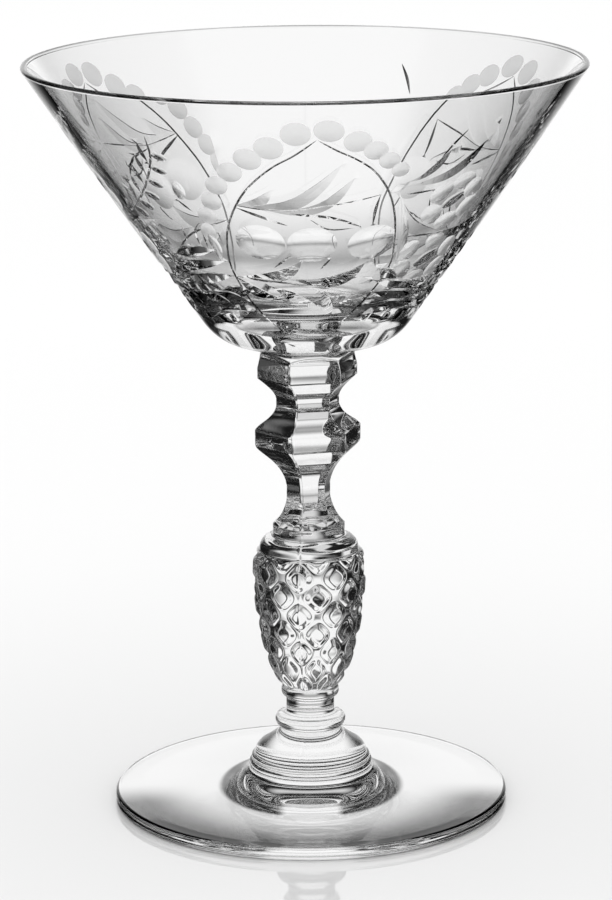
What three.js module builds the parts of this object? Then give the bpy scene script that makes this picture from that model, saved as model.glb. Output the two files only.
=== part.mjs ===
// Cut crystal sherbet glass: a blown bowl, a pressed stem and a cast foot, fused together while hot.
// Millimetres, +Z up. The origin is at the centre of the face that the foot rests on, and -Y is the front.
import * as THREE from 'three';
import { mergeVertices } from 'three/addons/utils/BufferGeometryUtils.js';

// Foot: a wide disc with a shallow hollow below and a round hub above
const footRadius = 38.6;
const footEdgeThickness = 2.4;
const footEdgeRounding = 0.9;
const restRingWidth = 4.2;
const footHollowDepth = 0.9;
const footHubHeight = 7.6;
const footHubRadius = 12;
const footFilletSpread = 5.8;
const footFilletHeight = 4;

// Stem, from the foot up: each stretch has its height and the radius that it reaches
const stemBaseRadius = 11.5;
const lipRadius = 11.7;
const lipHeight = 1.4;
const bellRadius = 11.1;
const bellHeight = 5.8;
const bellTopRadius = 5.85;
const lowerBeadRadius = 6.9;
const lowerBeadHeight = 2.8;
const beadNeckRadius = 4.7;
const beadNeckHeight = 3.2;
const upperBeadRadius = 5.65;
const upperBeadHeight = 2.3;
const bodyBaseRadius = 5.3;
const bodyTopRadius = 10.5;
const bodyHeight = 27.1;
const shoulderStep = 0.5;
const shoulderRadius = 9.7;
const shoulderHeight = 2.9;
const cupRadius = 7;
const cupHeight = 2.2;
const flareHeight = 5.3;
const neckRadius = 4.4;
const neckHeight = 2.4;
const knopTaperHeight = 8.6;
const knopRadius = 10.5;
const knopBandHeight = 2.8;
const knopTopHeight = 4.5;
const waistRadius = 6.2;
const waistHeight = 1.4;
const blockTaperHeight = 4.2;
const blockRadius = 9.8;
const blockHeight = 4;
const blockTopRadius = 9.3;
const collarHeight = 1.6;
const bowlJointRadius = 7.6;

// Raised lozenges round the stem's body
const lozengeRowPitch = 3.85;
const firstRowDrop = 3.1;
const lozengeRelief = 0.6;
const lozengeCount = 9;

// Bowl: a cone with a rounded corner low down, above a nearly flat underside
const bowlHeight = 55.4;
const rimRadius = 53.7;
const rimThickness = 1.2;
const bowlCornerRadius = 17.6;
const bowlCornerHeight = 2.2;
const bowlCornerBlend = 4;
const underCreaseHeight = 0.3;
const bowlBottomThickness = 3.9;
const lowerWallHeight = 17.4;
const lowerWallThickness = 2;

// Turns round the axis: the mould seam's from the front, and the hot stem's own twist above its body
const seamTurn = THREE.MathUtils.degToRad(-11);
const stemTwist = THREE.MathUtils.degToRad(-9.5);
const facetCount = 6;
const frontBearing = -Math.PI / 2;

// Segments round each piece and steps up the body, so that points lie on the grooves between lozenges
const segmentsPerFacet = 9;
const stemSegments = facetCount * segmentsPerFacet;
const roundSegments = 72;
const stepsPerRow = 3;

// Handles of the curves, as pairs of a share of the change in radius and a share of the rise
const roundOutShares = [0.55, 0, 1, 0.45];
const roundInShares = [0, 0.55, 0.45, 1];
const bellShares = [0.05, 0.54, 0.96, 0.62];
const bodyShares = [0.84, 0.1, 1.34, 0.87];
const shoulderShares = [0.02, 0.35, 0.1, 0.8];
const flareShares = [0.1, 0.06, 0.76, 0.29];
const knopTaperShares = [0.1, 0.6, 1, 0.8];
const knopTopShares = [0.22, 0.34, 0.82, 0.41];
const blockTaperShares = [0.06, 0.38, 0.59, 0.69];
const hollowShares = [0.5, 0, 0.8, 0.6];
const filletShares = [0.8, 0.12, 0.97, 0.5];

// Where a lozenge's crown ends and where its groove begins, from its middle at 0 to its edge at 1
const lozengeCrownShare = 0.4;
const lozengeGrooveShare = 1;
const lozengeSharpness = 3;

// An outline in radius and height, drawn stretch by stretch from the axis out and back to the axis
class Outline {
  constructor(startHeight = 0) {
    this.points = [new THREE.Vector2(0, startHeight)];
    this.marks = {};
  }

  get end() {
    return this.points[this.points.length - 1];
  }

  mark(name) {
    this.marks[name] = this.end.y;
    return this;
  }

  to(radius, height) {
    this.points.push(new THREE.Vector2(radius, height));
    return this;
  }

  curve(radius, height, shares, steps) {
    const path = strokeBetween(this.end, new THREE.Vector2(radius, height), shares);
    this.points.push(...path.getPoints(steps).slice(1));
    return this;
  }

  bend(cornerRadius, cornerHeight, radius, height, steps) {
    const corner = new THREE.Vector2(cornerRadius, cornerHeight);
    const path = new THREE.QuadraticBezierCurve(this.end, corner, new THREE.Vector2(radius, height));
    this.points.push(...path.getPoints(steps).slice(1));
    return this;
  }

  climb(rise, radius, shares, steps) {
    return this.curve(radius, this.end.y + rise, shares, steps);
  }

  rise(rise, radius = this.end.x) {
    return this.to(radius, this.end.y + rise);
  }

  close() {
    return this.to(0, this.end.y);
  }
}

function strokeBetween(from, to, shares) {
  const handle = (across, along) => new THREE.Vector2(
    THREE.MathUtils.lerp(from.x, to.x, across),
    THREE.MathUtils.lerp(from.y, to.y, along),
  );
  return new THREE.CubicBezierCurve(from, handle(shares[0], shares[1]), handle(shares[2], shares[3]), to);
}

// The radius of a rising curve at a height, found by halving the stretch that holds it
function radiusAt(path, height) {
  let low = 0;
  let high = 1;
  while (high - low > Number.EPSILON * 4) {
    const middle = (low + high) / 2;
    if (path.getPoint(middle).y < height) low = middle;
    else high = middle;
  }
  return path.getPoint(low).x;
}

// A closed body of revolution about +Z; reshape moves each ring's points in or out and round the axis
function revolve(outline, segments, reshape) {
  const geometry = new THREE.LatheGeometry(outline.points, segments);
  geometry.rotateX(Math.PI / 2);
  if (reshape) {
    reshapeRings(geometry.getAttribute('position'), outline.points.length, segments, reshape);
    followGrooves(geometry);
  }
  geometry.deleteAttribute('normal');
  geometry.deleteAttribute('uv');
  return withoutCollapsedFaces(mergeVertices(geometry));
}

function reshapeRings(position, ringCount, segments, reshape) {
  for (let index = 0; index < position.count; index += 1) {
    const column = Math.floor(index / ringCount) % segments;
    const around = (column / segments) * 2 * Math.PI;
    const radius = Math.hypot(position.getX(index), position.getY(index));
    const height = position.getZ(index);
    const shaped = reshape(radius, around, height);
    const bearing = frontBearing + shaped.turn;
    position.setXY(index, shaped.radius * Math.cos(bearing), shaped.radius * Math.sin(bearing));
  }
}

// Turns each four-sided cell so that its two faces meet along the diagonal nearer the axis
function followGrooves(geometry) {
  const index = geometry.getIndex();
  const position = geometry.getAttribute('position');
  const radius = (vertex) => Math.hypot(position.getX(vertex), position.getY(vertex));
  for (let cell = 0; cell < index.count; cell += 6) {
    const [a, b, d, c] = index.array.slice(cell, cell + 4);
    if (radius(a) + radius(c) < radius(b) + radius(d)) index.array.set([a, b, c, c, d, a], cell);
  }
}

function withoutCollapsedFaces(geometry) {
  const source = geometry.getIndex().array;
  const kept = [];
  for (let face = 0; face < source.length; face += 3) {
    const [a, b, c] = source.slice(face, face + 3);
    if (a !== b && b !== c && c !== a) kept.push(a, b, c);
  }
  geometry.setIndex(kept);
  geometry.computeVertexNormals();
  return geometry;
}

// Foot
function footOutline() {
  const restInnerRadius = footRadius - restRingWidth;
  const edgeTop = footEdgeThickness - footEdgeRounding;
  return new Outline(footHollowDepth)
    .curve(restInnerRadius, 0, hollowShares, 3)
    .to(footRadius - footEdgeRounding, 0)
    .curve(footRadius, footEdgeRounding, roundOutShares, 3)
    .to(footRadius, edgeTop)
    .curve(footRadius - footEdgeRounding, footEdgeThickness, roundInShares, 3)
    .to(footHubRadius + footFilletSpread, footFilletHeight)
    .curve(footHubRadius, footHubHeight, filletShares, 5)
    .close();
}

// Stem
function bead(outline, height, radius, afterRadius) {
  return outline
    .climb(height / 2, radius, roundOutShares, 3)
    .climb(height / 2, afterRadius, roundInShares, 3);
}

function bodyRings(outline) {
  const start = outline.end.clone();
  const top = new THREE.Vector2(bodyTopRadius, start.y + bodyHeight);
  const path = strokeBetween(start, top, bodyShares);
  const step = lozengeRowPitch / stepsPerRow;
  const firstRow = top.y - firstRowDrop;
  const lowest = Math.ceil((start.y - firstRow) / step + 1 / 2);
  const highest = Math.floor((top.y - firstRow) / step - 1 / 2);
  for (let ring = lowest; ring <= highest; ring += 1) {
    const height = firstRow + ring * step;
    outline.to(radiusAt(path, height), height);
  }
  return outline.to(top.x, top.y);
}

function stemOutline() {
  const outline = new Outline().to(stemBaseRadius, 0);
  outline
    .climb(lipHeight / 2, lipRadius, roundOutShares, 2)
    .climb(lipHeight / 2, bellRadius, roundInShares, 2)
    .climb(bellHeight, bellTopRadius, bellShares, 6);
  bead(outline, lowerBeadHeight, lowerBeadRadius, beadNeckRadius);
  outline.rise(beadNeckHeight);
  bead(outline, upperBeadHeight, upperBeadRadius, bodyBaseRadius);
  bodyRings(outline.mark('bodyBase')).mark('bodyTop');
  return outline
    .rise(shoulderStep, shoulderRadius)
    .climb(shoulderHeight, cupRadius, shoulderShares, 4)
    .mark('cupBase')
    .rise(cupHeight)
    .climb(flareHeight, neckRadius, flareShares, 4)
    .mark('neckBase')
    .rise(neckHeight)
    .climb(knopTaperHeight, knopRadius, knopTaperShares, 6)
    .rise(knopBandHeight)
    .climb(knopTopHeight, waistRadius, knopTopShares, 5)
    .rise(waistHeight)
    .climb(blockTaperHeight, blockRadius, blockTaperShares, 4)
    .rise(blockHeight / 2)
    .rise(blockHeight / 2, blockTopRadius)
    .mark('blockTop')
    .climb(collarHeight, bowlJointRadius, roundInShares, 3)
    .mark('stemTop')
    .close();
}

// How far a bearing is cut in by one of the flat facets: 1 on the round, less towards a facet's middle
function facetCut(around, flatShare) {
  const facetAngle = (2 * Math.PI) / facetCount;
  const offMiddle = (around % facetAngle) - facetAngle / 2;
  const middle = THREE.MathUtils.lerp(1, Math.cos(facetAngle / 2), flatShare);
  return Math.min(1, middle / Math.cos(offMiddle));
}

// How high a lozenge stands at a place on the body: 1 on its crown and 0 in the groove
function lozengeCrown(around, height, firstRow) {
  const column = (around * lozengeCount) / Math.PI;
  const row = (firstRow - height) / lozengeRowPitch;
  const rising = (column + row) / 2;
  const falling = (row - column) / 2;
  const offRising = 2 * Math.abs(rising - Math.round(rising));
  const offFalling = 2 * Math.abs(falling - Math.round(falling));
  const off = (offRising ** lozengeSharpness + offFalling ** lozengeSharpness) ** (1 / lozengeSharpness);
  return 1 - THREE.MathUtils.smoothstep(off, lozengeCrownShare, lozengeGrooveShare);
}

function stemReshaper(marks) {
  const firstRow = marks.bodyTop - firstRowDrop;
  const flatShareAt = (height) => Math.min(
    THREE.MathUtils.smoothstep(height, marks.cupBase, marks.neckBase),
    1 - THREE.MathUtils.smoothstep(height, marks.blockTop, marks.stemTop),
  );
  const twistAt = (height) => {
    const share = (height - marks.bodyTop) / (marks.stemTop - marks.bodyTop);
    return stemTwist * THREE.MathUtils.clamp(share, 0, 1);
  };
  return (radius, around, height) => {
    const onBody = height > marks.bodyBase && height <= marks.bodyTop;
    const groove = onBody ? lozengeRelief * (1 - lozengeCrown(around, height, firstRow)) : 0;
    return {
      radius: radius === 0 ? 0 : radius * facetCut(around, flatShareAt(height)) - groove,
      turn: around + seamTurn + twistAt(height),
    };
  };
}

// Bowl
function wallRadiusAt(height) {
  const slope = (rimRadius - bowlCornerRadius) / (bowlHeight - bowlCornerHeight);
  return rimRadius - slope * (bowlHeight - height);
}

function bowlOutline() {
  const underRise = (bowlCornerHeight - underCreaseHeight) / (bowlCornerRadius - bowlJointRadius);
  const bendStart = bowlCornerRadius - bowlCornerBlend;
  const bendStartHeight = underCreaseHeight + underRise * (bendStart - bowlJointRadius);
  const bendEndHeight = bowlCornerHeight + bowlCornerBlend;
  const innerRimRadius = rimRadius - rimThickness;
  const rimMiddle = rimRadius - rimThickness / 2;
  const rimStart = bowlHeight - rimThickness / 2;
  const lowerInnerRadius = wallRadiusAt(lowerWallHeight) - lowerWallThickness;
  const innerSlope = (innerRimRadius - lowerInnerRadius) / (rimStart - lowerWallHeight);
  const innerCornerRadius = lowerInnerRadius - innerSlope * (lowerWallHeight - bowlBottomThickness);
  return new Outline()
    .to(bowlJointRadius, 0)
    .to(bowlJointRadius, underCreaseHeight)
    .to(bendStart, bendStartHeight)
    .bend(bowlCornerRadius, bowlCornerHeight, wallRadiusAt(bendEndHeight), bendEndHeight, 6)
    .to(wallRadiusAt(lowerWallHeight), lowerWallHeight)
    .to(rimRadius, rimStart)
    .curve(rimMiddle, bowlHeight, roundInShares, 2)
    .curve(innerRimRadius, rimStart, roundOutShares, 2)
    .to(lowerInnerRadius, lowerWallHeight)
    .bend(innerCornerRadius, bowlBottomThickness, 0, bowlBottomThickness, 8);
}

function glass() {
  return new THREE.MeshStandardMaterial({
    color: '#e6ebea', roughness: 0.04, metalness: 0, transparent: true, opacity: 0.45,
  });
}

function piece(name, geometry, height) {
  const mesh = new THREE.Mesh(geometry, glass());
  mesh.name = name;
  mesh.position.z = height;
  return mesh;
}

const stem = stemOutline();
const sherbetGlass = new THREE.Group();
sherbetGlass.add(
  piece('foot', revolve(footOutline(), roundSegments), 0),
  piece('stem', revolve(stem, stemSegments, stemReshaper(stem.marks)), footHubHeight),
  piece('bowl', revolve(bowlOutline(), roundSegments), footHubHeight + stem.marks.stemTop),
);

export default sherbetGlass;
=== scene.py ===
"""Looks of the cut crystal sherbet glass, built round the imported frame.

Sizes are millimetres in the glass's own frame: +Z up from the face that the foot rests on, -Y to the front.
They become metres where a mesh is made.
"""
import logging
import math
from dataclasses import dataclass, field
from enum import Enum
from typing import ClassVar, Iterable

import bpy
import numpy as np
from mathutils import Euler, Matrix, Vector, kdtree
from mathutils.geometry import delaunay_2d_cdt


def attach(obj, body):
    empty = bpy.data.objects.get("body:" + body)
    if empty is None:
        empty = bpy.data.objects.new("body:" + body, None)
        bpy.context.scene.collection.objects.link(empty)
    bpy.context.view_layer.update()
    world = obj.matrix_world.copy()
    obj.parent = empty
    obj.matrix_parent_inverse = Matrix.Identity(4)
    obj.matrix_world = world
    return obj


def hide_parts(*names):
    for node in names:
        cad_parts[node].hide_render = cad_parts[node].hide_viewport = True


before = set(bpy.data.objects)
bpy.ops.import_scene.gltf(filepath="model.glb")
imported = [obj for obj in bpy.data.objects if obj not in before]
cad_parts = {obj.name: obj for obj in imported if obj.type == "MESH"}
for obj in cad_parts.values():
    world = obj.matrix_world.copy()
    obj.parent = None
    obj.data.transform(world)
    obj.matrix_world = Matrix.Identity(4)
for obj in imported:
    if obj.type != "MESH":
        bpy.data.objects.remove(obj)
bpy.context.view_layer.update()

MM = 0.001
FRONT = -math.pi / 2
LOG = logging.getLogger("sherbet_glass")

Point = tuple[float, float]
Handles = tuple[float, float, float, float]

ROUND_OUT: Handles = (0.55, 0.0, 1.0, 0.45)
ROUND_IN: Handles = (0.0, 0.55, 0.45, 1.0)

# Bounces that light takes in thick clear glass, through clear joints and between shiny faces
GLASS_BOUNCES, CLEAR_BOUNCES, MIRROR_BOUNCES = 32, 16, 12
# Columns round the table and the disc under the foot
TABLE_COLUMNS = 96
# Millimetres too small to be a face, and the slack when a face is told by its height
HAIR = 1e-6
SLACK = 0.01
# Places of a smooth path before it is spaced evenly, and the fewest parts it ends with
STRAIGHT_PLACES, BEND_PLACES, FEWEST_PARTS = 40, 24, 4


# Node graphs

class Graph:
    """A node tree while it is made. Every node in it comes from node()."""

    def __init__(self, tree: bpy.types.NodeTree) -> None:
        """Starts on a shader, world or geometry tree, which it empties."""
        self.tree = tree
        tree.nodes.clear()

    def node(self, kind: str, settings: dict | None = None, inputs: dict | None = None) -> bpy.types.Node:
        """Adds one node.

        Args:
            kind: the node's type.
            settings: its properties, set first.
            inputs: a value, a Number or a socket for each input's name or index.

        Returns:
            The new node.
        """
        made = self.tree.nodes.new(kind)
        for name, value in (settings or {}).items():
            setattr(made, name, value)
        for key, value in (inputs or {}).items():
            self.feed(made.inputs[key], value)
        return made

    def feed(self, socket: bpy.types.NodeSocket, value: object) -> None:
        """Links or sets one input.

        Args:
            socket: the input.
            value: a Number, a socket or a plain value.
        """
        if isinstance(value, Number):
            value = value.socket
        if isinstance(value, bpy.types.NodeSocket):
            self.tree.links.new(value, socket)
        else:
            socket.default_value = value

    def number(self, kind: str, output: str | int = 0, settings: dict | None = None,
               inputs: dict | None = None) -> "Number":
        """Adds a node and takes one of its outputs, by name or index, as a number ready for arithmetic."""
        return Number(self, self.node(kind, settings, inputs).outputs[output])


class Number:
    """A number on a socket. Arithmetic on it adds Math nodes to its graph."""

    def __init__(self, graph: Graph, socket: bpy.types.NodeSocket) -> None:
        """Wraps a socket of the graph."""
        self.graph = graph
        self.socket = socket

    def math(self, operation: str, *values: "Number | float") -> "Number":
        """Adds one Math node with its inputs in order, and gives its result."""
        return self.graph.number("ShaderNodeMath", 0, {"operation": operation}, dict(enumerate(values)))

    def __add__(self, other: "Number | float") -> "Number":
        """Sum."""
        return self.math("ADD", self, other)

    __radd__ = __add__

    def __sub__(self, other: "Number | float") -> "Number":
        """Difference."""
        return self.math("SUBTRACT", self, other)

    def __rsub__(self, other: "Number | float") -> "Number":
        """Reflected difference."""
        return self.math("SUBTRACT", other, self)

    def __mul__(self, other: "Number | float") -> "Number":
        """Product."""
        return self.math("MULTIPLY", self, other)

    __rmul__ = __mul__

    def __truediv__(self, other: "Number | float") -> "Number":
        """Quotient."""
        return self.math("DIVIDE", self, other)

    def __rtruediv__(self, other: "Number | float") -> "Number":
        """Reflected quotient."""
        return self.math("DIVIDE", other, self)

    def __pow__(self, other: "Number | float") -> "Number":
        """Power."""
        return self.math("POWER", self, other)

    def __abs__(self) -> "Number":
        """Size without sign."""
        return self.math("ABSOLUTE", self)

    def low(self, other: "Number | float") -> "Number":
        """The lower of two."""
        return self.math("MINIMUM", self, other)

    def high(self, other: "Number | float") -> "Number":
        """The higher of two."""
        return self.math("MAXIMUM", self, other)

    def over(self, other: "Number | float") -> "Number":
        """1 where this is greater, 0 elsewhere."""
        return self.math("GREATER_THAN", self, other)

    def ease(self, start: "Number | float", end: "Number | float") -> "Number":
        """A smooth rise from 0 at start to 1 at end."""
        return self.graph.number("ShaderNodeMapRange", "Result", {"interpolation_type": "SMOOTHSTEP"},
                                 {"Value": self, "From Min": start, "From Max": end})


# Outlines and shells

@dataclass
class Outline:
    """A turned outline in radius and height, drawn stretch by stretch with the glass on its left."""

    start: Point
    stretches: list[np.ndarray] = field(default_factory=list)
    crease: float = math.cos(math.radians(14))

    @property
    def end(self) -> Point:
        """The last point."""
        return tuple(self.stretches[-1][-1]) if self.stretches else self.start

    def add(self, points: np.ndarray) -> "Outline":
        """Adds a stretch whose first point is the outline's last one."""
        self.stretches.append(points)
        return self

    def to(self, radius: float, height: float, steps: int = 1) -> "Outline":
        """Goes straight to a point, in a number of parts."""
        share = np.linspace(0, 1, steps + 1)[:, None]
        return self.add(np.array(self.end) * (1 - share) + np.array((radius, height)) * share)

    def curve(self, radius: float, height: float, shares: Handles, steps: int) -> "Outline":
        """Goes to a point along a cubic whose handles are shares of the change in radius and height.

        Args:
            radius: the end's radius.
            height: the end's height.
            shares: two pairs of shares.
            steps: parts of the curve.

        Returns:
            The outline.
        """
        a, d = np.array(self.end), np.array((radius, height))
        b, c = a + (d - a) * shares[:2], a + (d - a) * shares[2:]
        t = np.linspace(0, 1, steps + 1)[:, None]
        return self.add(a * (1 - t) ** 3 + 3 * b * t * (1 - t) ** 2 + 3 * c * t * t * (1 - t) + d * t ** 3)

    def bend(self, corner: Point, radius: float, height: float, steps: int) -> "Outline":
        """Goes to a point along a quadratic that heads for a corner.

        Args:
            corner: the corner that the curve rounds.
            radius: the end's radius.
            height: the end's height.
            steps: parts of the curve.

        Returns:
            The outline.
        """
        a, b, d = np.array(self.end), np.array(corner), np.array((radius, height))
        t = np.linspace(0, 1, steps + 1)[:, None]
        return self.add(a * (1 - t) ** 2 + 2 * b * t * (1 - t) + d * t * t)

    def climb(self, rise: float, radius: float, shares: Handles, steps: int) -> "Outline":
        """Curves up by a rise to a radius."""
        return self.curve(radius, self.end[1] + rise, shares, steps)

    def rise(self, rise: float, radius: float | None = None, steps: int = 1) -> "Outline":
        """Goes straight up by a rise, to a radius if one is given."""
        return self.to(self.end[0] if radius is None else radius, self.end[1] + rise, steps)

    def rings(self) -> tuple[np.ndarray, np.ndarray]:
        """Works out the rings and the normals at both ends of every part.

        Returns:
            The points, and for each part its two normals in radius and height.
        """
        tangents = []
        for points in self.stretches:
            step = np.diff(points, axis=0)
            step /= np.linalg.norm(step, axis=1, keepdims=True)
            inner = step[:-1] + step[1:]
            first = 1.5 * step[0] - 0.5 * step[1] if len(step) > 1 else step[0]
            last = 1.5 * step[-1] - 0.5 * step[-2] if len(step) > 1 else step[-1]
            tangent = np.vstack([first[None], inner, last[None]])
            tangents.append(tangent / np.linalg.norm(tangent, axis=1, keepdims=True))
        for before, after in zip(tangents, tangents[1:]):
            if before[-1] @ after[0] > self.crease:
                middle = before[-1] + after[0]
                before[-1] = after[0] = middle / np.linalg.norm(middle)
        ends = np.concatenate([np.stack([t[:-1], t[1:]], axis=1) for t in tangents])
        points = np.vstack([self.stretches[0][:1]] + [s[1:] for s in self.stretches])
        return points, np.stack([ends[..., 1], -ends[..., 0]], axis=-1)


class Shell:
    """Vertices and faces gathered from patches, with a normal at each face corner."""

    def __init__(self) -> None:
        """Starts empty."""
        self.vertices: list[np.ndarray] = []
        self.faces: list[tuple[int, ...]] = []
        self.normals: list[np.ndarray] = []
        self.count = 0
        self.frost: list[float] = []
        self.fused: list[bool] = []

    def place(self, points: np.ndarray) -> int:
        """Adds vertices.

        Args:
            points: their places, one row each.

        Returns:
            The first one's index.
        """
        first = self.count
        self.vertices.append(points)
        self.count += len(points)
        return first

    def face(self, corners: Iterable[int], normals: Iterable[np.ndarray], frost: float = 0.0,
             fused: bool = False) -> None:
        """Adds a face.

        Args:
            corners: its vertices, counter-clockwise from outside.
            normals: the normal at each corner.
            frost: how matte the face is.
            fused: whether the face lies in a fused joint.
        """
        self.faces.append(tuple(corners))
        self.normals.extend(normals)
        self.frost.append(frost)
        self.fused.append(fused)

    def turn(self, outline: Outline, columns: int, start: float, fused_below: float = -math.inf,
             fused_above: float = math.inf) -> list[np.ndarray]:
        """Turns an outline about +Z.

        Args:
            outline: the outline.
            columns: faces round the turn.
            start: the bearing of the first column.
            fused_below: flat parts at or below this height are fused.
            fused_above: flat parts at or above this height are fused.

        Returns:
            The vertex indices of every ring.
        """
        points, normals = outline.rings()
        bearing = start + np.arange(columns) * 2 * math.pi / columns
        across, along = np.cos(bearing), np.sin(bearing)
        rings = []
        for radius, height in points:
            if radius < HAIR:
                rings.append(np.full(columns, self.place(np.array([[0.0, 0.0, height]]))))
                continue
            ring = np.stack([radius * across, radius * along, np.full(columns, height)], axis=1)
            rings.append(self.place(ring) + np.arange(columns))
        for part, (low, high) in enumerate(zip(rings, rings[1:])):
            ends = [np.stack([n[0] * across, n[0] * along, np.full(columns, n[1])], axis=1)
                    for n in normals[part]]
            height = (points[part][1] + points[part + 1][1]) / 2
            level = abs(points[part][1] - points[part + 1][1]) < HAIR
            fused = level and (height <= fused_below or height >= fused_above)
            for here in range(columns):
                there = (here + 1) % columns
                corners = [low[here], low[there], high[there], high[here]]
                turned = [ends[0][here], ends[0][there], ends[1][there], ends[1][here]]
                if low[here] == low[there]:
                    corners.pop(0), turned.pop(0)
                if high[here] == high[there]:
                    corners.pop(), turned.pop()
                self.face(corners, turned, 0.0, fused)
        return rings

    def build(self, name: str) -> bpy.types.Object:
        """Makes the object, in metres, with its corner normals and its frost attribute.

        Args:
            name: the piece's name.

        Returns:
            The object, with material index 1 on its fused faces.
        """
        mesh = bpy.data.meshes.new(name)
        mesh.from_pydata((np.vstack(self.vertices) * MM).tolist(), [], self.faces)
        mesh.attributes.new("frost", "FLOAT", "FACE").data.foreach_set("value", self.frost)
        mesh.polygons.foreach_set("use_smooth", [True] * len(self.faces))
        mesh.polygons.foreach_set("material_index", [int(f) for f in self.fused])
        mesh.normals_split_custom_set(np.array(self.normals).tolist())
        piece = bpy.data.objects.new(name, mesh)
        bpy.context.scene.collection.objects.link(piece)
        return piece


# Finishes

@dataclass(frozen=True)
class Finish:
    """What every finish has: a name, and a surface that becomes a material."""

    name: str

    def make(self) -> bpy.types.Material:
        """Builds the material.

        Returns:
            The finished material.
        """
        material = bpy.data.materials.new(self.name)
        material.use_nodes = True
        graph = Graph(material.node_tree)
        graph.node("ShaderNodeOutputMaterial", None, {"Surface": self.surface(graph).outputs[0]})
        return material


@dataclass(frozen=True)
class Crystal(Finish):
    """Clear lead crystal: a slow wave in its surface, and matte where the frost attribute says."""

    tint: tuple[float, float, float, float] = (1.0, 1.0, 1.0, 1.0)
    ior: float = 1.54
    matte_roughness: float = 0.14
    matte_white: float = 0.32
    behind_share: float = 0.5
    wave_scale: float = 90.0
    wave_detail: float = 1.0
    wave_break: float = 0.4
    wave_height: float = 0.000012
    grain_scale: float = 9000.0
    grain_detail: float = 2.0
    grain_break: float = 0.6
    grain_height: float = 0.000004

    def surface(self, graph: Graph) -> bpy.types.Node:
        """Builds the surface.

        Args:
            graph: the material's graph.

        Returns:
            The last shader.
        """
        place = graph.node("ShaderNodeTexCoord").outputs["Object"]
        frost = graph.number("ShaderNodeAttribute", "Fac", {"attribute_name": "frost"})
        wave = graph.number("ShaderNodeTexNoise", 0, None, {
            "Vector": place, "Scale": self.wave_scale, "Detail": self.wave_detail,
            "Roughness": self.wave_break})
        grain = graph.number("ShaderNodeTexNoise", 0, None, {
            "Vector": place, "Scale": self.grain_scale, "Detail": self.grain_detail,
            "Roughness": self.grain_break})
        height = wave * self.wave_height + grain * frost * self.grain_height
        bump = graph.node("ShaderNodeBump", None, {"Strength": 1.0, "Distance": 1.0, "Height": height})
        glass = graph.node("ShaderNodeBsdfPrincipled", None, {
            "Base Color": self.tint, "IOR": self.ior, "Transmission Weight": 1.0,
            "Roughness": frost * self.matte_roughness, "Normal": bump.outputs["Normal"],
        })
        before = graph.node("ShaderNodeBsdfDiffuse", None, {"Color": (1, 1, 1, 1)})
        behind = graph.node("ShaderNodeBsdfTranslucent", None, {"Color": (1, 1, 1, 1)})
        white = graph.node("ShaderNodeMixShader", None, {0: self.behind_share, 1: before.outputs[0],
                                                         2: behind.outputs[0]})
        return graph.node("ShaderNodeMixShader", None, {0: frost * self.matte_white, 1: glass.outputs[0],
                                                        2: white.outputs[0]})


@dataclass(frozen=True)
class FusedJoint(Finish):
    """The face where two gathers melted into one: nothing is seen there."""

    name: str = "fused_joint"

    def surface(self, graph: Graph) -> bpy.types.Node:
        """Builds the clear surface."""
        return graph.node("ShaderNodeBsdfTransparent")


@dataclass(frozen=True)
class PaleFloor(Finish):
    """A smooth pale table that reflects a little, with painted shade: its colour is darker round the glass and
    whitens with distance.
    """

    name: str = "pale_floor"
    # Colour round the glass, darkened as painted shade, and far out
    near: float = 0.93
    far: float = 1.0
    fade_start: float = 0.0
    fade_end: float = 0.22
    roughness: float = 0.035
    ior: float = 2.0

    def surface(self, graph: Graph) -> bpy.types.Node:
        """Builds the surface.

        Args:
            graph: the material's graph.

        Returns:
            The last shader.
        """
        place = graph.node("ShaderNodeTexCoord").outputs["Object"]
        spread = graph.number("ShaderNodeVectorMath", "Value", {"operation": "LENGTH"}, {0: place})
        # Painted shade: darker near the glass, whitening out to fade_end metres
        pale = spread.ease(self.fade_start, self.fade_end) * (self.far - self.near) + self.near
        colour = graph.node("ShaderNodeCombineColor", None, {0: pale, 1: pale, 2: pale})
        return graph.node("ShaderNodeBsdfPrincipled", None, {
            "Base Color": colour.outputs[0], "Roughness": self.roughness, "IOR": self.ior})


@dataclass(frozen=True)
class PaintedShadowUnderFoot(Finish):
    """A glowing disc painted with the table's light and shadow under the foot: light at the back, painted shadow
    to the front, round the hub and at the front edge.
    """

    name: str = "painted_shadow_under_foot"
    # How bright the disc glows where no painted shadow falls
    tone: float = 0.95
    # In metres: the painted shadow at the foot's front edge (radii), the painted light of the back half (y), the
    # painted shadow to the front (radii) and its depth, the painted shade round the hub (radii) and the painted
    # light strip through it (half widths)
    edge: Point = (0.0378, 0.0392)
    back: Point = (-0.010, 0.002)
    shade: Point = (0.019, 0.034)
    shade_depth: float = 0.88
    hub: Point = (0.0168, 0.0184)
    painted_light_strip: Point = (0.0046, 0.0066)

    def surface(self, graph: Graph) -> bpy.types.Node:
        """Builds the glowing surface with its painted light and shadow.

        Args:
            graph: the material's graph.

        Returns:
            The last shader.
        """
        place = graph.node("ShaderNodeSeparateXYZ", None, {
            0: graph.node("ShaderNodeTexCoord").outputs["Object"]})
        x, y = (Number(graph, place.outputs[k]) for k in range(2))
        radius = (x * x + y * y) ** 0.5
        # Painted light at the back; painted shadow to the front, round the hub except along the painted light
        # strip, and at the front edge. The disc glows with this tone though it is no lamp
        back = y.ease(*self.back)
        shaded = (1 - back) * radius.ease(*self.shade) * self.shade_depth
        hub = (1 - radius.ease(*self.hub)) * abs(x).ease(*self.painted_light_strip)
        edge = (1 - back) * radius.ease(*self.edge)
        tone = (1 - shaded) * (1 - hub) * (1 - edge) * self.tone
        colour = graph.node("ShaderNodeCombineColor", None, {0: tone, 1: tone, 2: tone})
        return graph.node("ShaderNodeEmission", None, {"Color": colour.outputs[0]})


# Wheel cutting

class Profile(Enum):
    """The section that a wheel leaves."""

    MITRE = "mitre"
    HOLLOW = "hollow"


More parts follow.
